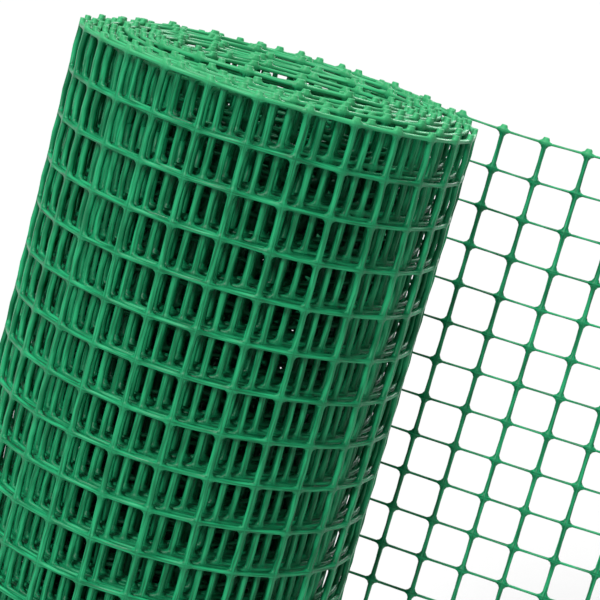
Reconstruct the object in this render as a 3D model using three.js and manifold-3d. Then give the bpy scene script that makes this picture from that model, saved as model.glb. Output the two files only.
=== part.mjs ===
// Roll of square plastic mesh fencing, standing on its end, with the outer end of the net unrolled beside it.
// Millimetres, +Z up. The roll is wound anticlockwise inwards, seen from above: from the place at its back
// where the net leaves it, round by the left and the front, and in to the open core.
import * as THREE from 'three';
import { mergeVertices } from 'three/addons/utils/BufferGeometryUtils.js';
import Module from 'manifold-3d';

const wasm = await Module();
wasm.setup();

// The net: its mesh, strands and edges
const PITCH_ALONG = 21.2; // mesh along the net's length
const PITCH_ACROSS = 20; // mesh across the net, which is up the roll
const ROWS = 25; // meshes from foot to top
const AXIAL_STRAND = 2.5; // width of a strand that runs up the roll
const RUNNING_STRAND = 1.7; // width of a strand that runs round the roll
const STUB = 2.8; // from the middle of an edge strand to the tip of a cut node
const STUB_WIDTH = 3.4;
const SHEET_THICKNESS = 2; // the thickness of the net at its nodes

// The roll
const OUTER_RADIUS = 93.8; // where the net leaves the roll
const CORE_RADIUS = 41;
const TURN = 3.4; // from one turn to the next
const TURNS_A_RIDGE = 3; // the top shows one soft ridge for three turns
const RIDGE_DROP = 2.4; // from a ridge's crest to the groove beside it
const MESH_DENT = 11; // how far each mesh is sunk between its strands, which is about three turns
const CORE_SINK = 13; // how far the top of the innermost turn lies below that of the outer turn
const SUNK_TURNS = 4.5; // inner turns that lie lower and lower towards the core
const SINK_CURVE = 1.3;
const OUT_OF_ROUND = 0.8;
const CORE_OUT_OF_ROUND = 2.5; // the inner turns have settled out of round
const CORE_LONG_WAY = 0.6; // twice the angle, in radians, from the outer turn's end to the core's long way
const CROWN_STEPS = 20; // steps across the top, from the outside to the core
const CORE_STEPS = 3; // steps down the core
const FOOT_STEPS = 2;

// The loose end
const LOOSE_MESHES = 12;
const FIRST_STRAND = 7.5; // from the roll's axis to the middle of the first strand beside it
const CLEARANCE = 0.3; // between the roll and the loose end
const STEP_RUN = 1; // length of the slope where the outer turn ends

const NET_GREEN = 0x1f8a50;

const HEIGHT = ROWS * PITCH_ACROSS + 2 * STUB;
const LOOSE_START = FIRST_STRAND - AXIAL_STRAND / 2;
const LOOSE_END = FIRST_STRAND + LOOSE_MESHES * PITCH_ALONG + AXIAL_STRAND / 2;
const TURN_END = LOOSE_START - CLEARANCE - STEP_RUN; // x where the outer turn reaches its full radius

function plastic(colour) {
  return new THREE.MeshStandardMaterial({ color: colour, roughness: 0.42, metalness: 0 });
}

function closedGeometry(geometry) {
  geometry.deleteAttribute('normal');
  geometry.deleteAttribute('uv');
  return mergeVertices(geometry);
}

function solid(geometry) {
  const closed = closedGeometry(geometry);
  return new wasm.Manifold(new wasm.Mesh({
    numProp: 3,
    vertProperties: new Float32Array(closed.attributes.position.array),
    triVerts: new Uint32Array(closed.index.array),
  }));
}

function geometryOf(manifold) {
  const mesh = manifold.getMesh();
  const geometry = new THREE.BufferGeometry();
  geometry.setAttribute('position', new THREE.BufferAttribute(mesh.vertProperties, 3));
  geometry.setIndex(new THREE.BufferAttribute(mesh.triVerts, 1));
  geometry.computeVertexNormals();
  return geometry;
}

// The angles round the roll, from the end of the outer turn: a strand, a mesh's middle, a strand, and so on,
// and last the foot of the slope up to the first strand.
function columnTurns() {
  const half = PITCH_ALONG / 2 / OUTER_RADIUS;
  const foot = 2 * Math.PI - STEP_RUN / OUTER_RADIUS;
  const turns = [];
  for (let turned = 0; turned < foot - half / 2; turned += half) turns.push(turned);
  if (turns.length % 2 === 0) turns.pop();
  turns.push(foot);
  return turns;
}

function outerRadius(turned) {
  const wound = TURN * (turned / (2 * Math.PI));
  return OUTER_RADIUS - wound - OUT_OF_ROUND * Math.sin(turned) ** 2;
}

function coreRadius(turned) {
  const wound = TURN * (turned / (2 * Math.PI));
  return CORE_RADIUS - wound + CORE_OUT_OF_ROUND * Math.cos(2 * turned + CORE_LONG_WAY);
}

function crownHeight(turned, depth) {
  const ridges = depth / (TURN * TURNS_A_RIDGE) + turned / (2 * Math.PI);
  const fromCore = outerRadius(turned) - coreRadius(turned) - depth;
  const sunk = Math.max(0, 1 - fromCore / (SUNK_TURNS * TURN)) ** SINK_CURVE;
  return HEIGHT - CORE_SINK * sunk - RIDGE_DROP * (0.5 - 0.5 * Math.cos(2 * Math.PI * ridges));
}

// The heights up the outside: the foot, each strand and each mesh's middle, and the top
function outsideHeights() {
  const heights = [0];
  for (let half = 0; half <= 2 * ROWS; half++) heights.push(STUB + half * PITCH_ACROSS / 2);
  heights.push(HEIGHT);
  return heights;
}

// A closed ring of points round the roll's wall: up the outside, over the top, down the core, across the foot
function wallProfile(heights) {
  const points = heights.map((z) => ({ side: 'outside', z }));
  for (let step = 1; step <= CROWN_STEPS; step++) points.push({ side: 'crown', across: step / CROWN_STEPS });
  for (let step = 1; step <= CORE_STEPS; step++) points.push({ side: 'core', down: step / CORE_STEPS });
  for (let step = 1; step <= FOOT_STEPS; step++) points.push({ side: 'foot', across: 1 - step / FOOT_STEPS });
  return points;
}

// Even columns and odd rows are strands, so a mesh's middle is an odd column and an even row
function isMeshMiddle(column, row, columns, rows) {
  const beside = column % 2 === 1 && column < columns - 1;
  return beside && row % 2 === 0 && row > 0 && row < rows - 1;
}

function outsidePoint(point, column, row, turned, heights, columns) {
  const dent = isMeshMiddle(column, row, columns, heights.length) ? MESH_DENT : 0;
  const isTop = row === heights.length - 1;
  return { radius: outerRadius(turned) - dent, z: isTop ? crownHeight(turned, 0) : point.z };
}

function insidePoint(point, turned) {
  const wall = outerRadius(turned) - coreRadius(turned);
  if (point.side === 'core') {
    return { radius: coreRadius(turned), z: crownHeight(turned, wall) * (1 - point.down) };
  }
  const depth = point.across * wall;
  const z = point.side === 'crown' ? crownHeight(turned, depth) : 0;
  return { radius: outerRadius(turned) - depth, z };
}

// Turns the diagonals of the outside's faces so that each mesh is a dent with even corners
function turnDiagonals(geometry, columns, profileLength, outsideRows) {
  const index = geometry.index.array;
  for (let column = 0; column < columns; column++) {
    for (let row = 1; row < outsideRows - 2; row++) {
      if (column % 2 === row % 2) continue;
      const a = row + column * profileLength;
      const b = a + profileLength;
      index.set([a, b, b + 1, b + 1, a + 1, a], (column * (profileLength - 1) + row) * 6);
    }
  }
}

// The wall is turned as a plain ring first, and each of its points is then put in its place in the winding
function buildRoll() {
  const turns = columnTurns();
  const heights = outsideHeights();
  const wall = wallProfile(heights);
  const ring = wall.map((point, row) => new THREE.Vector2(1, row));
  const geometry = new THREE.LatheGeometry(ring, turns.length);
  turnDiagonals(geometry, turns.length, wall.length, heights.length);
  const start = Math.acos(TURN_END / OUTER_RADIUS);
  const position = geometry.attributes.position;
  for (let i = 0; i < position.count; i++) {
    const column = Math.floor(i / wall.length) % turns.length;
    const row = (i % wall.length) % (wall.length - 1); // the profile's last point closes on its first
    const turned = turns[column];
    const point = wall[row].side === 'outside'
      ? outsidePoint(wall[row], column, row, turned, heights, turns.length)
      : insidePoint(wall[row], turned);
    const angle = start + turned;
    position.setXYZ(i, point.radius * Math.cos(angle), point.radius * Math.sin(angle), point.z);
  }
  const closed = closedGeometry(geometry);
  closed.computeVertexNormals();
  return new THREE.Mesh(closed, plastic(NET_GREEN));
}

// A straight bar of the net's thickness, between two places along the net and two heights
function bar(fromX, toX, fromZ, toZ) {
  const geometry = new THREE.BoxGeometry(toX - fromX, SHEET_THICKNESS, toZ - fromZ);
  geometry.translate((fromX + toX) / 2, outerFace() - SHEET_THICKNESS / 2, (fromZ + toZ) / 2);
  return solid(geometry);
}

// The loose end's outer face lies level with the outer turn where the two meet
function outerFace() {
  return Math.sqrt(OUTER_RADIUS ** 2 - LOOSE_START ** 2);
}

function looseStrands() {
  const strands = [];
  for (let row = 0; row <= ROWS; row++) {
    const middle = STUB + row * PITCH_ACROSS;
    strands.push(bar(LOOSE_START, LOOSE_END, middle - RUNNING_STRAND / 2, middle + RUNNING_STRAND / 2));
  }
  for (let column = 0; column <= LOOSE_MESHES; column++) {
    const middle = FIRST_STRAND + column * PITCH_ALONG;
    strands.push(bar(middle - AXIAL_STRAND / 2, middle + AXIAL_STRAND / 2, 0, HEIGHT));
    strands.push(bar(middle - STUB_WIDTH / 2, middle + STUB_WIDTH / 2, 0, STUB));
    strands.push(bar(middle - STUB_WIDTH / 2, middle + STUB_WIDTH / 2, HEIGHT - STUB, HEIGHT));
  }
  return strands;
}

function buildLooseEnd() {
  const joined = looseStrands().reduce((net, strand) => net.add(strand));
  const trimmed = joined.intersect(bar(LOOSE_START, LOOSE_END, 0, HEIGHT));
  return new THREE.Mesh(geometryOf(trimmed), plastic(NET_GREEN));
}

const roll = buildRoll();
roll.name = 'roll';
const looseEnd = buildLooseEnd();
looseEnd.name = 'loose_end';

// The origin is under the middle of the whole part, on the surface that it stands on
const pieces = new THREE.Group();
pieces.add(roll, looseEnd);
const box = new THREE.Box3().setFromObject(pieces);
pieces.position.set(-(box.min.x + box.max.x) / 2, -(box.min.y + box.max.y) / 2, 0);

const group = new THREE.Group();
group.add(pieces);
export default group;
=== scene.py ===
"""A roll of square plastic mesh fencing that stands on its end, with the outer end of the net unrolled.

The net is made flat, one crossing of two strands repeated along and across, and is then wound: straight
along the loose end, and round and round in to the open core. Metres, +Z up.
"""

import math

import bmesh
import bpy
import numpy as np
from bpy.props import FloatProperty, FloatVectorProperty, IntProperty, PointerProperty
from mathutils import Matrix, Vector


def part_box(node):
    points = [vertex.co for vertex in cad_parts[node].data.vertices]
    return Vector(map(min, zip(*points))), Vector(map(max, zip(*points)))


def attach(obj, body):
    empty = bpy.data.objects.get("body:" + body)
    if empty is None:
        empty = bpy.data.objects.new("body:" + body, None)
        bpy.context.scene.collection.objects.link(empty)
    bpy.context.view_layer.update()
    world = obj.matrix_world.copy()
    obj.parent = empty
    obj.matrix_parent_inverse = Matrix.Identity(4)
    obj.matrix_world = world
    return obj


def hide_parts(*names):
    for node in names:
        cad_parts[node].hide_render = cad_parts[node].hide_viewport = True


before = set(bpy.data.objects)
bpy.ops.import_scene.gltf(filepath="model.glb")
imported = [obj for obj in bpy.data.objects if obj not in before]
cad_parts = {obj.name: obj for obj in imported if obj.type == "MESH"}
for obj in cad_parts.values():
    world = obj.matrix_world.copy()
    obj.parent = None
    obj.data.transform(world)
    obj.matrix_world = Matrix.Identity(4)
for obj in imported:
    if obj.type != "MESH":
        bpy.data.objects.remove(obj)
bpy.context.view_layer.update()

bl_info = {
    "name": "Mesh Fencing Roll",
    "version": (1, 0, 0),
    "blender": (4, 5, 0),
    "location": "View3D > Sidebar > Mesh Fencing",
    "description": "Makes a roll of square plastic mesh with its outer end unrolled",
    "category": "Add Mesh",
}

NET_UV = "net"
LOOSE_LOW, LOOSE_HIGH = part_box("loose_end")
HEIGHT = LOOSE_HIGH.z


class NetSizes(bpy.types.PropertyGroup):
    """The net's mesh, its strands and its edges."""

    mesh_along: FloatProperty(
        name="Mesh along", description="From one strand up the roll to the next",
        default=0.0212, min=0.005, unit="LENGTH", precision=4)
    mesh_across: FloatProperty(
        name="Mesh across", description="From one strand round the roll to the next",
        default=0.02, min=0.005, unit="LENGTH", precision=4)
    rows: IntProperty(name="Rows", description="Meshes from foot to top", default=25, min=1)
    loose_columns: IntProperty(
        name="Loose columns", description="Meshes along the loose end", default=12, min=1)
    axial_width: FloatProperty(
        name="Axial strand", description="Width of a strand up the roll",
        default=0.0028, min=0.0005, unit="LENGTH", precision=4)
    running_width: FloatProperty(
        name="Running strand", description="Width of a strand round the roll",
        default=0.002, min=0.0005, unit="LENGTH", precision=4)
    corner: FloatProperty(
        name="Mesh corner", description="Radius of a mesh's corners in the roll",
        default=0.0023, min=0.0005, unit="LENGTH", precision=4)
    loose_axial_width: FloatProperty(
        name="Loose axial strand", description="Width of an axial strand where the net is unrolled",
        default=0.0022, min=0.0005, unit="LENGTH", precision=4)
    loose_running_width: FloatProperty(
        name="Loose running strand", description="Width of a running strand where the net is unrolled",
        default=0.0011, min=0.0005, unit="LENGTH", precision=4)
    loose_corner: FloatProperty(
        name="Loose mesh corner", description="Radius of a mesh's corners where the net is unrolled",
        default=0.0031, min=0.0005, unit="LENGTH", precision=4)
    inner_fullness: FloatProperty(
        name="Inner fullness", description="Width of the inner turns' strands against that of the others",
        default=1.25, min=0.5)
    axial_thickness: FloatProperty(
        name="Axial thickness", description="Thickness of a strand up the roll",
        default=0.0024, min=0.0003, unit="LENGTH", precision=4)
    running_thickness: FloatProperty(
        name="Running thickness", description="Thickness of a strand round the roll",
        default=0.0021, min=0.0003, unit="LENGTH", precision=4)
    crossing_thickness: FloatProperty(
        name="Crossing thickness", description="Thickness where two strands cross",
        default=0.0026, min=0.0003, unit="LENGTH", precision=4)
    stub: FloatProperty(
        name="Stub", description="From the middle of an edge strand to the tip of a cut stub",
        default=0.0028, min=0.001, unit="LENGTH", precision=4)
    stub_width: FloatProperty(
        name="Stub width", description="Width of a cut stub",
        default=0.0036, min=0.001, unit="LENGTH", precision=4)
    end_stub: FloatProperty(
        name="End stub", description="From the middle of the last strand to the tip of a cut stub",
        default=0.0019, min=0.001, unit="LENGTH", precision=4)


class RollShape(bpy.types.PropertyGroup):
    """How the net is wound."""

    outer_radius: FloatProperty(
        name="Outer radius", description="The net's middle where it leaves the roll",
        default=0.093, min=0.02, unit="LENGTH", precision=4)
    wound_mesh: FloatProperty(
        name="Wound mesh", description="Mesh along the middle of the net where it is wound",
        default=0.02113, min=0.005, unit="LENGTH", precision=5)
    turn_spacing: FloatProperty(
        name="Turn spacing", description="From one turn to the next",
        default=0.00336, min=0.001, unit="LENGTH", precision=5)
    columns: IntProperty(
        name="Columns", description="Strands up the roll in all its turns", default=302, min=30)
    fine_columns: IntProperty(
        name="Fine columns", description="How many of the outer strands have a finer form",
        default=104, min=1)
    first_strand: FloatProperty(
        name="First strand", description="From the roll's axis to the first strand of the loose end",
        default=0.0075, unit="LENGTH", precision=4)
    slip: FloatProperty(
        name="Slip", description="How far the strands are drawn together at the back left",
        default=0.0069, unit="LENGTH", precision=4)
    out_of_round: FloatProperty(
        name="Out of round", description="How far the outer turn is from a true circle",
        default=0.0008, min=0.0, unit="LENGTH", precision=4)
    core_out_of_round: FloatProperty(
        name="Core out of round", description="How far the inner turn is from a true circle",
        default=0.0025, min=0.0, unit="LENGTH", precision=4)
    bow: FloatProperty(
        name="Bow", description="How far a strand up the roll stands out between crossings",
        default=0.00045, min=0.0, unit="LENGTH", precision=5)
    unevenness: FloatProperty(
        name="Unevenness", description="How far a crossing is from its even place",
        default=0.0003, min=0.0, unit="LENGTH", precision=5)
    back_slip: FloatProperty(
        name="Back slip", description="How far strands are drawn out of line behind the roll and deep in it",
        default=0.006, min=0.0, unit="LENGTH", precision=4)
    tightening: FloatProperty(
        name="Tightening", description="How far a turn deep in the roll is drawn on past the one outside it",
        default=0.0016, min=0.0, unit="LENGTH", precision=5)
    sway: FloatProperty(
        name="Sway", description="How far the slack turns' running strands lie up or down",
        default=0.007, min=0.0, unit="LENGTH", precision=4)
    edge_unevenness: FloatProperty(
        name="Edge unevenness", description="How far a turn's top edge is from level",
        default=0.0014, min=0.0, unit="LENGTH", precision=5)
    seed: IntProperty(name="Seed", description="Start of the uneven places", default=184)


class NetFinish(bpy.types.PropertyGroup):
    """The green plastic."""

    green: FloatVectorProperty(
        name="Green", description="The plastic's colour", subtype="COLOR", size=3,
        default=(0.001, 0.1, 0.036), min=0.0, max=1.0)
    pale_green: FloatVectorProperty(
        name="Pale green", description="Streaks in the drawn strands", subtype="COLOR", size=3,
        default=(0.012, 0.285, 0.114), min=0.0, max=1.0)
    # The cut edge's paler plastic, together with a painted highlight on the roll's top
    cut_and_highlight_green: FloatVectorProperty(
        name="Cut green", description="The cut edge and its stubs", subtype="COLOR", size=3,
        default=(0.07, 0.43, 0.17), min=0.0, max=1.0)
    # Painted shade: how much of the plastic's colour is left between the turns
    shade: FloatProperty(
        name="Shade", description="How much of the colour is left between the turns", default=0.5,
        min=0.0, max=1.0, subtype="FACTOR")
    roughness: FloatProperty(
        name="Roughness", description="Roughness of the drawn plastic", default=0.38, min=0.0, max=1.0,
        subtype="FACTOR")


class Studio(bpy.types.PropertyGroup):
    """The floor, the lights and the camera."""

    azimuth: FloatProperty(
        name="Azimuth", description="The camera's turn to the right", default=math.radians(10.355),
        subtype="ANGLE")
    elevation: FloatProperty(
        name="Elevation", description="The camera's height above level", default=math.radians(11.904),
        subtype="ANGLE")
    tilt: FloatProperty(
        name="Tilt", description="The camera's turn about its own axis", default=math.radians(15.468),
        subtype="ANGLE")
    distance: FloatProperty(
        name="Distance", description="From the camera to its target", default=0.9196, unit="LENGTH")
    beside_axis: FloatProperty(
        name="Target beside the axis", description="From the roll's axis to the camera's target",
        default=0.03525, unit="LENGTH", precision=4)
    target_height: FloatProperty(
        name="Target height", description="The camera's target above the floor", default=0.4084,
        unit="LENGTH", precision=4)
    lens: FloatProperty(
        name="Lens", description="Focal length on a sensor 36 mm wide", default=121.66, min=1.0,
        unit="CAMERA")
    floor_white: FloatProperty(
        name="Floor", description="How white the floor is", default=0.5, min=0.0, max=1.0,
        subtype="FACTOR")
    key_strength: FloatProperty(
        name="Key light", description="Strength of the soft light from above", default=3.2, min=0.0)
    front_strength: FloatProperty(
        name="Front light", description="Strength of the soft light from the front, a little above level",
        default=2.3, min=0.0)
    surround: FloatProperty(
        name="Surround", description="Strength of the even light from all round", default=0.44, min=0.0)


def roll_axis(scene):
    """Where the roll's axis stands, from the end of the loose net and the outer face of the roll."""
    net, roll = scene.fencing_net, scene.fencing_roll
    to_end = roll.first_strand + net.loose_columns * net.mesh_along + LOOSE_TIP
    return Vector((LOOSE_HIGH.x - to_end, (LOOSE_LOW.y + LOOSE_HIGH.y) / 2 - LOOSE_PLANE))


class Crossing:
    """The half widths and half thicknesses of one crossing of two strands."""

    def __init__(self, net, loose, fullness=1.0):
        self.axial = fullness * (net.loose_axial_width if loose else net.axial_width) / 2
        self.running = fullness * (net.loose_running_width if loose else net.running_width) / 2
        self.corner = net.loose_corner if loose else net.corner
        self.reach_along = net.mesh_along / 2
        self.reach_across = net.mesh_across / 2
        self.axial_thick = net.axial_thickness / 2
        self.running_thick = net.running_thickness / 2
        self.crossing_thick = net.crossing_thickness / 2


# A crossing and its half strands
SIDE_LINE, CORNER_LINE, MIDDLE_LINE = 1, 2, 3  # lines of its even grid, outwards from its flat face
SHOULDER = 0.62  # the flat of a strand's face against its width, where the strand has flat faces
CORNER_TURN = math.radians(75)  # where a round corner is divided, from across the strand
WAIST = 0.95  # a strand's width in the middle of a mesh against that beside a crossing
SHOULDER_SET = 0.7  # how far a crossing's flat face follows its corners
ROOT_RISE = 0.6  # how far a strand has risen to a crossing's thickness where it meets it
STUB_STATIONS = (0.35, 0.75)  # where a stub's sides are divided
STUB_FOOT = 1.25  # a stub's width where it leaves the strand against that at its tip
MERGE_REACH = 0.01  # on the even grid that a crossing is made on
PAST_SIDE = 1.01  # times a strand's half width: from there on a point lies outside the strand

# The loose end
WIDTH_CHANGE = (-0.14, -0.01)  # along the net, where its strands get their loose width
LOOSE_TIP = 0.00125  # from the middle of the last strand to the end of the loose end's solid
LOOSE_PLANE = 0.0926  # from the roll's axis to the middle of the loose end's solid

# The winding: lengths in metres, angles in radians, and turns counted in from the outside
FIRST_TURNED = 1.0  # the angle over which the net gets uneven where it enters the roll
SLIP_STRETCH = (0.02, 0.2)  # along the net, where the strands are drawn together
SLIP_TURNS = (0.8, 1.2, 1.8, 2.2, 2.8, 3.2, 3.8, 4.2)
TURN_SLIPS = (0.0, -0.001, -0.001, -0.002, -0.002, -0.0018, -0.0018, -0.0031)  # along the net at those turns
BACK_START = (3.0, 6.0)  # the angles over which the net behind the roll gets drawn out of line
BACK_CURVE = 3  # how closely that keeps to the back
SLACK_TURNS = (1.2, 2.2)  # over these the net behind the roll gets slack
DEEP_TURNS = (5.5, 7.5)  # over these the winding gets uneven all round
TIGHTENED_TURNS = 9  # from the first of those on, turns that lie tighter and tighter
CORE_LONG_WAY = 0.6  # twice the angle from the outer turn's start to the core's long way
CROWN_DEPTHS = (0.0, 0.7, 1.0)  # from the outer turn to the innermost
CROWN_FRONT = (-0.002, 0.005, -0.006)  # how high the turns' tops stand at those depths in front
CROWN_BACK = (0.002, -0.002, -0.010)  # and behind
CROWN_START = (0.06, -0.02)  # along the net, where the crown's height behind starts and is full
HIGH_SIDE = 0.2  # the angle from the outer turn's start to where the roll's top is highest
EDGE_CURVE = 4  # how steeply an uneven top edge evens out down the roll
SWAY_CURVE = 8  # how evenly a slack turn sways over its height, but for its edges
WAVES = 6  # sine waves in an uneven field
SHIFT_WAVES, BACK_WAVES, RADIAL_WAVES = (0.1, 0.5), (0.2, 0.6), (0.06, 0.4)  # shortest and longest wave
EDGE_WAVES, SWAY_WAVES, ROW_WAVES = (0.12, 0.7), (0.15, 0.45), (0.05, 0.2)

# The pieces
OUTER_PIECES, INNER_PIECES = 4, 4
CROWN_ROWS = 2  # running strands at the top of the inner turns that have the finer form

# The plastic. A tone and a roughness have the range of noise first, and then what it becomes.
STREAK_LONG, STREAK_FINE = 50.0, 1300.0  # noise cells a metre along and across a strand
STREAK_NOISE = {"Scale": 1.0, "Detail": 3.0, "Roughness": 0.55}
CLOUD_NOISE = {"Scale": 18.0, "Detail": 2.0}
STREAK_TONE = (0.38, 0.62, 0.0, 0.9)
CLOUD_TONE = (0.35, 0.7, 0.0, 0.16)
STREAK_ROUGHNESS = (0.3, 0.7, -0.05, 0.09)
CROSSING_REACH = (0.002, 0.0055)  # from the middle of a crossing, where its plain plastic ends
# the second tone: how far the top edge goes towards the cut's paler plastic and a painted highlight
CROSSING_TONE, CUT_AND_HIGHLIGHT_TONE = 0.3, 0.5
BUMP_STRENGTH, BUMP_DISTANCE = 0.7, 0.0004
IOR, SPECULAR = 1.5, 0.18
SHADE_FROM, SHADE_TO = 4.5, 9.0  # turns in from the outside where the painted shade starts and is full
SHADE_BELOW_TOP = (0.035, 0.016)  # below the roll's top, where the painted shade starts to end and ends

# The stage
FLOOR_SIZE = 60.0
FLOOR_GAP = 0.0002
FLOOR_ROUGHNESS, FLOOR_SPECULAR = 0.9, 0.1
LIGHTS = {"key": (14, (0.3, 0.25, -1.0)), "back": (30, (-0.25, -0.8, -0.5)),
          "front": (12, (0.22, 0.85, -0.42))}  # how wide in degrees, and where it shines
BACK_SHARE = 0.6  # of the key light's strength


def half_grid(flat_faced):
    """Half of the even grid that a crossing is made on. Outwards its lines are the edge of a strand's flat
    face, or its middle where it has none, its side, the end of the round corner, and the mesh's middle."""
    return 3.5 if flat_faced else 3.0


def add_crossing_face(bm, flat_faced, facing):
    """One face of a crossing and of the half strands around it on an even grid, level 0 at their sides."""
    half = half_grid(flat_faced)
    segments = round(2 * half)
    grid = bmesh.ops.create_grid(bm, x_segments=segments, y_segments=segments, size=half)["verts"]
    faces = list({face for vert in grid for face in vert.link_faces})
    if facing < 0:
        bmesh.ops.reverse_faces(bm, faces=faces)
    open_corners = []
    for vert in grid:
        inner_line = min(MIDDLE_LINE + round(abs(distance) - half) for distance in vert.co.xy)
        if inner_line > SIDE_LINE:
            open_corners.append(vert)
        vert.co.z = 0.0 if inner_line == SIDE_LINE else facing
    bmesh.ops.delete(bm, geom=open_corners, context="VERTS")


def crossing_mesh(flat_faced):
    """A crossing of two strands with half a strand on each of its four sides, open where they go on."""
    bm = bmesh.new()
    for facing in (1, -1):
        add_crossing_face(bm, flat_faced, facing)
    bmesh.ops.remove_doubles(bm, verts=bm.verts[:], dist=MERGE_REACH)
    for face in bm.faces:
        face.smooth = True
    mesh = bpy.data.meshes.new("crossing")
    bm.to_mesh(mesh)
    bm.free()
    return mesh


def repeated(mesh, columns, rows, step):
    """The crossing repeated along and across the net, its strands joined end to end."""
    holder = bpy.data.objects.new("crossings", mesh)
    bpy.context.scene.collection.objects.link(holder)
    for count, offset in ((columns, (step, 0, 0)), (rows, (0, step, 0))):
        array = holder.modifiers.new("repeat", "ARRAY")
        array.count = count
        array.use_relative_offset = False
        array.use_constant_offset = True
        array.constant_offset_displace = offset
        array.use_merge_vertices = True
        array.merge_threshold = MERGE_REACH
    evaluated = holder.evaluated_get(bpy.context.evaluated_depsgraph_get())
    net_mesh = bpy.data.meshes.new_from_object(evaluated)
    bpy.data.objects.remove(holder)
    bpy.data.meshes.remove(mesh)
    return net_mesh


def shaped(grid, shape, flat_faced):
    """Puts a grid's points in their places on the net: distance along, across and out."""
    half = half_grid(flat_faced)
    number = np.floor((grid[:, :2] + half) / (2 * half))
    local = grid[:, :2] - number * 2 * half
    line = MIDDLE_LINE + np.rint(np.abs(local) - half).astype(int)
    facing = np.sign(local)
    corner_out = shape.corner * (1 - math.cos(CORNER_TURN))
    corner_side = shape.corner * (1 - math.sin(CORNER_TURN))
    corner_set = shape.corner * (1 - math.sqrt(0.5))
    sides = np.array([shape.axial, shape.running])
    face = SHOULDER if flat_faced else 0.0
    distance = np.stack([
        np.array([face * side, side, side + corner_out, reach])[line[:, axis]]
        for axis, (side, reach) in enumerate(zip(sides, (shape.reach_along, shape.reach_across)))], 1)

    thick = np.array([shape.running_thick, shape.axial_thick])
    out = np.empty(len(grid))
    for axis in (0, 1):
        on_arm = line[:, axis] > SIDE_LINE
        side = sides[1 - axis]
        width = np.where(line[on_arm, axis] == MIDDLE_LINE, WAIST, 1 + corner_side / side)
        distance[on_arm, 1 - axis] *= width
        out[on_arm] = thick[axis]
    on_plate = line.max(axis=1) < CORNER_LINE
    at_corner = on_plate & (line.min(axis=1) == SIDE_LINE)
    at_root = on_plate & (line.max(axis=1) == SIDE_LINE)
    root = np.where(line[:, 0] == SIDE_LINE, thick[0], thick[1])
    rise = np.where(at_root, ROOT_RISE, 1.0)
    out[on_plate] = (root + rise * (shape.crossing_thick - root))[on_plate]
    distance[on_plate] += SHOULDER_SET * corner_set if flat_faced else 0.0
    distance[at_corner] = sides + corner_set
    place = number * 2 * np.array([shape.reach_along, shape.reach_across]) + facing * distance
    return np.column_stack([place, out * grid[:, 2]])


def points_of(mesh):
    """A mesh's points as an array."""
    points = np.empty(len(mesh.vertices) * 3, np.float32)
    mesh.vertices.foreach_get("co", points)
    return points.reshape(-1, 3).astype(float)


def smooth_step(values, start, end):
    """0 up to start and 1 from end on, eased between them."""
    share = np.clip((values - start) / (end - start), 0.0, 1.0)
    return share * share * (3 - 2 * share)


def cut_back(out, aside, side, arm, corner, reach, tip, tip_side):
    """Draws a half strand past an edge crossing in to a short cut stub: distance out and to the side."""
    corner_set = corner * (1 - math.sqrt(0.5))
    stations = [side, side + corner_set, side + corner * (1 - math.cos(CORNER_TURN)), reach]
    short = np.interp(out, stations, [side, *(side + share * (tip - side) for share in STUB_STATIONS), tip])
    at_foot = out < side + PAST_SIDE * corner_set
    narrow = np.where(at_foot, np.clip(aside, -STUB_FOOT * tip_side, STUB_FOOT * tip_side),
                      np.clip(aside * tip_side / arm, -tip_side, tip_side))
    return short, narrow


def trimmed(flat, scene, columns, rows):
    """Cuts the half strands past the net's edges back to stubs. flat holds points along, across and out.

    The inner turns' fuller strands are cut by the plain sizes too, so that the outer sides of their edge
    strands, at the foot and at the inner end, are drawn in to the crossings.
    """
    net, roll = scene.fencing_net, scene.fencing_roll
    shape = Crossing(net, loose=False)
    along = (flat[:, 0] - roll.first_strand) / net.mesh_along
    across = flat[:, 1] / net.mesh_across
    from_column = (along - np.round(along)) * net.mesh_along
    from_row = (across - np.round(across)) * net.mesh_across
    for row, facing in ((0, -1), (net.rows, 1)):
        if row not in rows:
            continue
        out = (flat[:, 1] - row * net.mesh_across) * facing
        past = out > shape.running * PAST_SIDE
        short, narrow = cut_back(out[past], from_column[past], shape.running, shape.axial, shape.corner,
                                 shape.reach_across, net.stub, net.stub_width / 2)
        flat[past, 1] = row * net.mesh_across + short * facing
        flat[past, 0] += narrow - from_column[past]
    for column, facing in ((-roll.columns, -1), (net.loose_columns, 1)):
        if column not in columns:
            continue
        edge = roll.first_strand + column * net.mesh_along
        out = (flat[:, 0] - edge) * facing
        past = out > shape.axial * PAST_SIDE
        short, narrow = cut_back(out[past], from_row[past], shape.axial, shape.running, shape.corner,
                                 shape.reach_along, net.end_stub, shape.running)
        flat[past, 0] = edge + short * facing
        flat[past, 1] += narrow - from_row[past]
    return flat


def flat_net(scene, columns, rows, flat_faced):
    """A flat stretch of net and its points: distance along from the tangent point, across and out."""
    net, roll = scene.fencing_net, scene.fencing_roll
    mesh = repeated(crossing_mesh(flat_faced), len(columns), len(rows), 2 * half_grid(flat_faced))
    grid = points_of(mesh)
    fullness = 1.0 if flat_faced else net.inner_fullness
    flat, loose_flat = (shaped(grid, Crossing(net, loose, fullness), flat_faced) for loose in (False, True))
    start = np.array([roll.first_strand + columns[0] * net.mesh_along, rows[0] * net.mesh_across, 0.0])
    unrolled = smooth_step(flat[:, :1] + start[0], *WIDTH_CHANGE)
    flat += start + (loose_flat - flat) * unrolled
    return mesh, trimmed(flat, scene, columns, rows)


def uneven(along, across, seed, shortest, longest):
    """A smooth uneven field over the net, mostly between -1 and 1, with waves of these lengths."""
    draws = np.random.default_rng(seed)
    field = np.zeros_like(along)
    for _ in range(WAVES):
        wave_along, wave_across = draws.uniform(shortest, longest, 2)
        lean, start = draws.choice((-1, 1)), draws.uniform(0, 2 * math.pi)
        field += np.sin(2 * math.pi * (along / wave_along + lean * across / wave_across) + start)
    return field / math.sqrt(WAVES)


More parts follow.
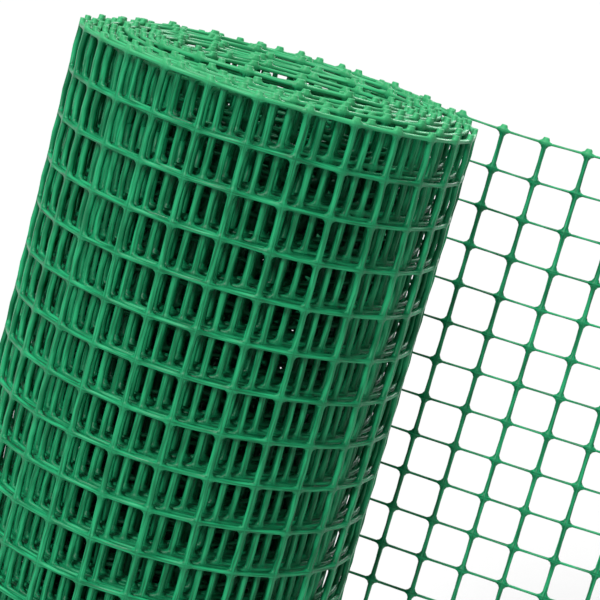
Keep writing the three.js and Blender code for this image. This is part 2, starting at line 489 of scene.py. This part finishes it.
def turned_at(inwards, roll):
    """The angle through which the net is wound, at a distance along it in to the roll."""
    per_radian = roll.turn_spacing / (2 * math.pi)
    radius = np.sqrt(roll.outer_radius ** 2 - 2 * per_radian * inwards)
    return (roll.outer_radius - radius) / per_radian


def windings(along, across, scene):
    """The angle through which the net's points are wound in, and how slack the net is there, from 0 to 1."""
    net, roll = scene.fencing_net, scene.fencing_roll
    inwards = np.maximum(-along, 0.0) * roll.wound_mesh / net.mesh_along
    inwards -= roll.slip * smooth_step(inwards, *SLIP_STRETCH)
    turned = turned_at(inwards, roll)
    turns = turned / (2 * math.pi)
    at_back = (0.5 + 0.5 * np.cos(turned)) ** BACK_CURVE * smooth_step(turned, *BACK_START)
    deep = smooth_step(turns, *DEEP_TURNS)
    shift = roll.unevenness * uneven(along, across, roll.seed, *SHIFT_WAVES)
    shift += roll.back_slip * np.maximum(at_back, deep) * uneven(along, across, roll.seed + 4, *BACK_WAVES)
    shift += np.interp(turns, SLIP_TURNS, TURN_SLIPS)
    shift += roll.tightening * np.clip(turns - DEEP_TURNS[0], 0.0, TIGHTENED_TURNS) ** 2
    inwards = np.maximum(inwards + shift * smooth_step(turned, 0.0, FIRST_TURNED), 0.0)
    slack = np.maximum(at_back * smooth_step(turns, *SLACK_TURNS), deep)
    return turned_at(inwards, roll), slack


def radii(along, across, turned, wall, scene):
    """How far the middle of the net lies from the roll's axis."""
    net, roll = scene.fencing_net, scene.fencing_roll
    wavy = uneven(along, across, roll.seed + 3, *RADIAL_WAVES)
    bow = roll.bow * (0.5 - 0.5 * np.cos(2 * math.pi * across / net.mesh_across))
    radius = roll.outer_radius - turned * roll.turn_spacing / (2 * math.pi)
    radius -= roll.out_of_round * np.sin(turned) ** 2 * (1 - wall)
    radius += roll.core_out_of_round * np.cos(2 * turned + CORE_LONG_WAY) * wall
    radius += roll.unevenness * (1 + wall) * smooth_step(turned, 0.0, FIRST_TURNED) * wavy
    return radius + bow


def heights(along, across, turned, depth, slack, scene):
    """How high the net's points stand, with the crown of the roll, its uneven edge and its slack turns."""
    net, roll = scene.fencing_net, scene.fencing_roll
    share_up = np.clip(across / (net.rows * net.mesh_across), 0.0, 1.0)
    level = np.zeros_like(across)
    behind = (0.5 + 0.5 * np.cos(turned - HIGH_SIDE)) * smooth_step(along, *CROWN_START)
    crown = np.interp(depth, CROWN_DEPTHS, CROWN_FRONT)
    crown += behind * (np.interp(depth, CROWN_DEPTHS, CROWN_BACK) - crown)
    edge = roll.edge_unevenness * uneven(along, level, roll.seed + 1, *EDGE_WAVES)
    sway = roll.sway * slack * uneven(along, level, roll.seed + 5, *SWAY_WAVES)
    height = net.stub + across + share_up * crown + share_up ** EDGE_CURVE * edge
    height += (1 - (2 * share_up - 1) ** SWAY_CURVE) * sway
    height += share_up * roll.unevenness * uneven(along, across, roll.seed + 2, *ROW_WAVES)
    return np.clip(height, 0.0, None)


def wound(flat, scene):
    """The net's points in the roll and along the loose end."""
    roll = scene.fencing_roll
    along, across, out = flat.T
    turned, slack = windings(along, across, scene)
    full_turn = turned_at(roll.columns * roll.wound_mesh, roll)
    wall = smooth_step(turned, 0.0, full_turn)
    depth = np.clip(turned / full_turn, 0.0, 1.0)
    radius = radii(along, across, turned, wall, scene) + out
    angle = math.pi / 2 + turned
    axis = roll_axis(scene)
    points = np.empty_like(flat)
    points[:, 0] = axis.x + radius * np.cos(angle) + np.maximum(along, 0.0)
    points[:, 1] = axis.y + radius * np.sin(angle)
    points[:, 2] = heights(along, across, turned, depth, slack, scene)
    return points


def net_piece(scene, name, columns, rows, flat_faced, node, material):
    """A stretch of the net in its place, with its open strand ends closed."""
    mesh, flat = flat_net(scene, columns, rows, flat_faced)
    bm = bmesh.new()
    bm.from_mesh(mesh)
    open_edges = [edge for edge in bm.edges if edge.is_boundary]
    for face in bmesh.ops.holes_fill(bm, edges=open_edges, sides=0)["faces"]:
        face.smooth = False
    bmesh.ops.recalc_face_normals(bm, faces=bm.faces[:])
    bm.to_mesh(mesh)
    bm.free()
    corners = np.empty(len(mesh.loops), np.int32)
    mesh.loops.foreach_get("vertex_index", corners)
    layer = mesh.uv_layers.new(name=NET_UV)
    layer.uv.foreach_set("vector", flat[corners, :2].astype(np.float32).ravel())
    mesh.vertices.foreach_set("co", wound(flat, scene).astype(np.float32).ravel())
    mesh.name = name
    mesh.materials.append(material)
    mesh.update()
    piece = bpy.data.objects.new(name, mesh)
    scene.collection.objects.link(piece)
    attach(piece, "root")
    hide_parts(node)


def shader_node(tree, node_type, inputs=None, **settings):
    """A shader node with its settings made and its inputs linked or set."""
    node = tree.nodes.new(node_type)
    for key, value in settings.items():
        setattr(node, key, value)
    for key, value in (inputs or {}).items():
        if isinstance(value, bpy.types.NodeSocket):
            tree.links.new(value, node.inputs[key])
        else:
            node.inputs[key].default_value = value
    return node


def calculated(tree, operation, first, second=None):
    """A Math node's result."""
    inputs = {0: first} if second is None else {0: first, 1: second}
    return shader_node(tree, "ShaderNodeMath", inputs, operation=operation).outputs[0]


def ranged(tree, value, low, high, to_low=0.0, to_high=1.0):
    """A value eased from one range to another."""
    return shader_node(
        tree, "ShaderNodeMapRange",
        {"Value": value, "From Min": low, "From Max": high, "To Min": to_low, "To Max": to_high},
        interpolation_type="SMOOTHSTEP").outputs["Result"]


def blended(tree, share, first, second, blend_type="MIX"):
    """Two colours mixed."""
    node = shader_node(tree, "ShaderNodeMix", data_type="RGBA", blend_type=blend_type)
    for socket, value in ((node.inputs[0], share), (node.inputs[6], first), (node.inputs[7], second)):
        if isinstance(value, bpy.types.NodeSocket):
            tree.links.new(value, socket)
        else:
            socket.default_value = value
    return node.outputs[2]


def opaque(colour):
    """A colour with the alpha that a socket asks for."""
    return (*colour, 1.0)


def drawn_plastic_group(scene):
    """The streaks and tones of plastic drawn in to strands, from the net's flat length and height."""
    net, roll = scene.fencing_net, scene.fencing_roll
    tree = bpy.data.node_groups.new("drawn_plastic", "ShaderNodeTree")
    for name, kind in (("Green", "NodeSocketColor"), ("Pale Green", "NodeSocketColor"),
                       ("Cut And Highlight Green", "NodeSocketColor"), ("Roughness", "NodeSocketFloat")):
        tree.interface.new_socket(name=name, in_out="INPUT", socket_type=kind)
    for name, kind in (("Colour", "NodeSocketColor"), ("Roughness", "NodeSocketFloat"),
                       ("Height", "NodeSocketFloat")):
        tree.interface.new_socket(name=name, in_out="OUTPUT", socket_type=kind)
    given = shader_node(tree, "NodeGroupInput").outputs
    place = shader_node(tree, "ShaderNodeUVMap", uv_map=NET_UV).outputs["UV"]
    flat = shader_node(tree, "ShaderNodeSeparateXYZ", {"Vector": place}).outputs
    from_first = calculated(tree, "SUBTRACT", flat["X"], roll.first_strand)
    from_axial = calculated(tree, "PINGPONG", from_first, net.mesh_along / 2)
    from_running = calculated(tree, "PINGPONG", flat["Y"], net.mesh_across / 2)
    axial = calculated(tree, "LESS_THAN", from_axial, from_running)
    from_crossing = calculated(tree, "MAXIMUM", from_axial, from_running)
    crossing = ranged(tree, from_crossing, *CROSSING_REACH, 1.0, 0.0)

    streaks = []
    for along_scale, across_scale in ((STREAK_LONG, STREAK_FINE), (STREAK_FINE, STREAK_LONG)):
        stretched = shader_node(tree, "ShaderNodeMapping", {
            "Vector": place, "Scale": (along_scale, across_scale, 1.0)}).outputs["Vector"]
        streaks.append(shader_node(tree, "ShaderNodeTexNoise", {
            "Vector": stretched, **STREAK_NOISE}).outputs["Fac"])
    streak = shader_node(tree, "ShaderNodeMix", {0: axial, 2: streaks[0], 3: streaks[1]}).outputs[0]
    cloud = shader_node(tree, "ShaderNodeTexNoise", {"Vector": place, **CLOUD_NOISE}).outputs["Fac"]

    tone = ranged(tree, streak, *STREAK_TONE)
    colour = blended(tree, tone, given["Green"], given["Pale Green"])
    colour = blended(tree, ranged(tree, cloud, *CLOUD_TONE), colour, given["Pale Green"])
    colour = blended(tree, calculated(tree, "MULTIPLY", crossing, CROSSING_TONE), colour, given["Green"])
    # Along the top edge the colour goes towards the cut's paler plastic and a painted highlight on the
    # roll's top
    top = net.rows * net.mesh_across
    cut = ranged(tree, flat["Y"], top - net.running_width, top + net.running_width, 0.0, CUT_AND_HIGHLIGHT_TONE)
    colour = blended(tree, cut, colour, given["Cut And Highlight Green"])
    rough = calculated(tree, "ADD", given["Roughness"], ranged(tree, streak, *STREAK_ROUGHNESS))
    height = calculated(tree, "MULTIPLY", streak, calculated(tree, "SUBTRACT", 1.0, crossing))
    shader_node(tree, "NodeGroupOutput", {"Colour": colour, "Roughness": rough, "Height": height})
    return tree


def plastic(scene, name, group, with_painted_shade):
    """Satin green plastic. Between the turns of the roll, shade is painted into its colour."""
    finish = scene.fencing_finish
    material = bpy.data.materials.new(name)
    material.use_nodes = True
    tree = material.node_tree
    tree.nodes.clear()
    drawn = shader_node(tree, "ShaderNodeGroup", node_tree=group)
    drawn.inputs["Green"].default_value = opaque(finish.green)
    drawn.inputs["Pale Green"].default_value = opaque(finish.pale_green)
    drawn.inputs["Cut And Highlight Green"].default_value = opaque(finish.cut_and_highlight_green)
    drawn.inputs["Roughness"].default_value = finish.roughness
    colour = drawn.outputs["Colour"]
    # The wound turns get painted shade in their colour
    if with_painted_shade:
        colour = painted_shade_inside(tree, scene, colour)
    bump = shader_node(tree, "ShaderNodeBump", {
        "Height": drawn.outputs["Height"], "Strength": BUMP_STRENGTH, "Distance": BUMP_DISTANCE})
    shader = shader_node(tree, "ShaderNodeBsdfPrincipled", {
        "Base Color": colour, "Roughness": drawn.outputs["Roughness"], "Normal": bump.outputs["Normal"],
        "IOR": IOR, "Specular IOR Level": SPECULAR})
    shader_node(tree, "ShaderNodeOutputMaterial", {"Surface": shader.outputs["BSDF"]})
    return material


def painted_shade_inside(tree, scene, colour):
    """The colour with painted shade, darker the deeper a turn lies between the roll's outside and its core.
    """
    roll, finish = scene.fencing_roll, scene.fencing_finish
    axis = roll_axis(scene)
    place = shader_node(tree, "ShaderNodeTexCoord").outputs["Object"]
    from_axis = shader_node(tree, "ShaderNodeVectorMath", {0: place, 1: (axis.x, axis.y, 0.0)},
                            operation="SUBTRACT").outputs["Vector"]
    parts = shader_node(tree, "ShaderNodeSeparateXYZ", {"Vector": from_axis}).outputs
    squares = [calculated(tree, "MULTIPLY", parts[axis_name], parts[axis_name]) for axis_name in "XY"]
    radius = calculated(tree, "SQRT", calculated(tree, "ADD", *squares))
    depth = calculated(tree, "SUBTRACT", roll.outer_radius, radius)
    turn = roll.turn_spacing
    lit = ranged(tree, depth, SHADE_FROM * turn, SHADE_TO * turn, 1.0, finish.shade)
    near_top = ranged(tree, parts["Z"], *(HEIGHT - below for below in SHADE_BELOW_TOP))
    left = calculated(tree, "MAXIMUM", lit, near_top)
    grey = shader_node(tree, "ShaderNodeCombineColor", {"Red": left, "Green": left, "Blue": left}).outputs[0]
    return blended(tree, 1.0, colour, grey, "MULTIPLY")


def net_materials(scene):
    """The two finishes, made once."""
    made = [bpy.data.materials.get(name) for name in ("wound_net_plastic", "loose_net_plastic")]
    if not all(made):
        group = drawn_plastic_group(scene)
        made = [plastic(scene, "wound_net_plastic", group, True),
                plastic(scene, "loose_net_plastic", group, False)]
    return made


class FENCING_OT_loose_end(bpy.types.Operator):
    """Makes the net's outer end, which stands straight beside the roll"""

    bl_idname = "fencing.loose_end"
    bl_label = "Loose End"

    def execute(self, context):
        net = context.scene.fencing_net
        net_piece(context.scene, "loose_end_net", range(net.loose_columns + 1), range(net.rows + 1), True,
                  "loose_end", net_materials(context.scene)[1])
        return {"FINISHED"}


class FENCING_OT_outer_turns(bpy.types.Operator):
    """Makes the outer turns of the roll"""

    bl_idname = "fencing.outer_turns"
    bl_label = "Outer Turns"

    def execute(self, context):
        net, roll = context.scene.fencing_net, context.scene.fencing_roll
        make_turns(context.scene, "outer_turn", 0, roll.fine_columns, OUTER_PIECES,
                   range(net.rows + 1), True)
        return {"FINISHED"}


class FENCING_OT_inner_turns(bpy.types.Operator):
    """Makes the inner turns of the roll, with plainer strands below the crown"""

    bl_idname = "fencing.inner_turns"
    bl_label = "Inner Turns"

    def execute(self, context):
        net, roll = context.scene.fencing_net, context.scene.fencing_roll
        crown = net.rows + 1 - CROWN_ROWS
        make_turns(context.scene, "inner_turns", roll.fine_columns, roll.columns, INNER_PIECES,
                   range(crown), False)
        make_turns(context.scene, "inner_crown", roll.fine_columns, roll.columns, 1,
                   range(crown, net.rows + 1), True)
        return {"FINISHED"}


def make_turns(scene, name, start, end, pieces, rows, flat_faced):
    """Pieces of the roll from strand number start to strand number end, counted inwards."""
    cuts = [round(start + (end - start) * k / pieces) for k in range(pieces + 1)]
    for number, (outer, inner) in enumerate(zip(cuts, cuts[1:]), 1):
        net_piece(scene, f"{name}_{number}", range(-inner, -outer), rows, flat_faced, "roll",
                  net_materials(scene)[0])


class FENCING_OT_stage(bpy.types.Operator):
    """Makes the floor, the lights and the camera"""

    bl_idname = "fencing.stage"
    bl_label = "Stage"

    def execute(self, context):
        scene = context.scene
        make_floor(scene)
        make_lights(scene)
        make_camera(scene)
        return {"FINISHED"}


def make_floor(scene):
    studio = scene.fencing_studio
    bm = bmesh.new()
    bmesh.ops.create_grid(bm, x_segments=1, y_segments=1, size=FLOOR_SIZE / 2)
    mesh = bpy.data.meshes.new("floor")
    bm.to_mesh(mesh)
    bm.free()
    material = bpy.data.materials.new("floor_white")
    material.use_nodes = True
    shader = material.node_tree.nodes["Principled BSDF"]
    shader.inputs["Base Color"].default_value = opaque((studio.floor_white,) * 3)
    shader.inputs["Roughness"].default_value = FLOOR_ROUGHNESS
    shader.inputs["Specular IOR Level"].default_value = FLOOR_SPECULAR
    mesh.materials.append(material)
    floor = bpy.data.objects.new("floor", mesh)
    floor.location.z = -FLOOR_GAP
    scene.collection.objects.link(floor)


def make_lights(scene):
    studio = scene.fencing_studio
    world = bpy.data.worlds.new("studio")
    world.use_nodes = True
    background = world.node_tree.nodes["Background"]
    background.inputs["Color"].default_value = (1.0, 1.0, 1.0, 1.0)
    background.inputs["Strength"].default_value = studio.surround
    scene.world = world
    strengths = {"key": studio.key_strength, "back": BACK_SHARE * studio.key_strength,
                 "front": studio.front_strength}
    for name, (spread, aim) in LIGHTS.items():
        light = bpy.data.lights.new(name, "SUN")
        light.energy = strengths[name]
        light.angle = math.radians(spread)
        sun = bpy.data.objects.new(name, light)
        sun.rotation_euler = Vector(aim).to_track_quat("-Z", "Y").to_euler()
        scene.collection.objects.link(sun)
    scene.view_settings.view_transform = "Standard"


def make_camera(scene):
    studio = scene.fencing_studio
    turn, lift, tilt = studio.azimuth, studio.elevation, studio.tilt
    back = Vector((math.sin(turn) * math.cos(lift), -math.cos(turn) * math.cos(lift), math.sin(lift)))
    right = Vector((0, 0, 1)).cross(back).normalized()
    up = back.cross(right)
    tilted_right = math.cos(tilt) * right + math.sin(tilt) * up
    tilted_up = math.cos(tilt) * up - math.sin(tilt) * right
    axis = roll_axis(scene)
    target = Vector((axis.x + studio.beside_axis, axis.y, studio.target_height))
    data = bpy.data.cameras.new("camera")
    data.lens = studio.lens
    data.sensor_width = 36.0
    data.clip_end = 100.0
    camera = bpy.data.objects.new("camera", data)
    turned = Matrix((tilted_right, tilted_up, back)).transposed().to_4x4()
    camera.matrix_world = Matrix.Translation(target + studio.distance * back) @ turned
    scene.collection.objects.link(camera)
    scene.camera = camera


class FENCING_PT_panel(bpy.types.Panel):
    """The fencing roll's sizes and its steps"""

    bl_idname = "FENCING_PT_panel"
    bl_label = "Mesh Fencing Roll"
    bl_space_type = "VIEW_3D"
    bl_region_type = "UI"
    bl_category = "Mesh Fencing"

    def draw(self, context):
        for operator in OPERATORS:
            self.layout.operator(operator.bl_idname)
        for name, settings in SETTINGS.items():
            box = self.layout.box()
            box.label(text=settings.__doc__)
            group = getattr(context.scene, name)
            for key in settings.__annotations__:
                box.prop(group, key)


SETTINGS = {"fencing_net": NetSizes, "fencing_roll": RollShape, "fencing_finish": NetFinish,
            "fencing_studio": Studio}
OPERATORS = (FENCING_OT_loose_end, FENCING_OT_outer_turns, FENCING_OT_inner_turns, FENCING_OT_stage)


def register():
    for settings in SETTINGS.values():
        bpy.utils.register_class(settings)
    for name, settings in SETTINGS.items():
        setattr(bpy.types.Scene, name, PointerProperty(type=settings))
    for operator in OPERATORS:
        bpy.utils.register_class(operator)
    bpy.utils.register_class(FENCING_PT_panel)


def unregister():
    bpy.utils.unregister_class(FENCING_PT_panel)
    for operator in reversed(OPERATORS):
        bpy.utils.unregister_class(operator)
    for name, settings in reversed(SETTINGS.items()):
        delattr(bpy.types.Scene, name)
        bpy.utils.unregister_class(settings)


def main():
    register()
    bpy.ops.fencing.loose_end()
    bpy.ops.fencing.outer_turns()
    bpy.ops.fencing.inner_turns()
    bpy.ops.fencing.stage()


if __name__ == "__main__":
    main()
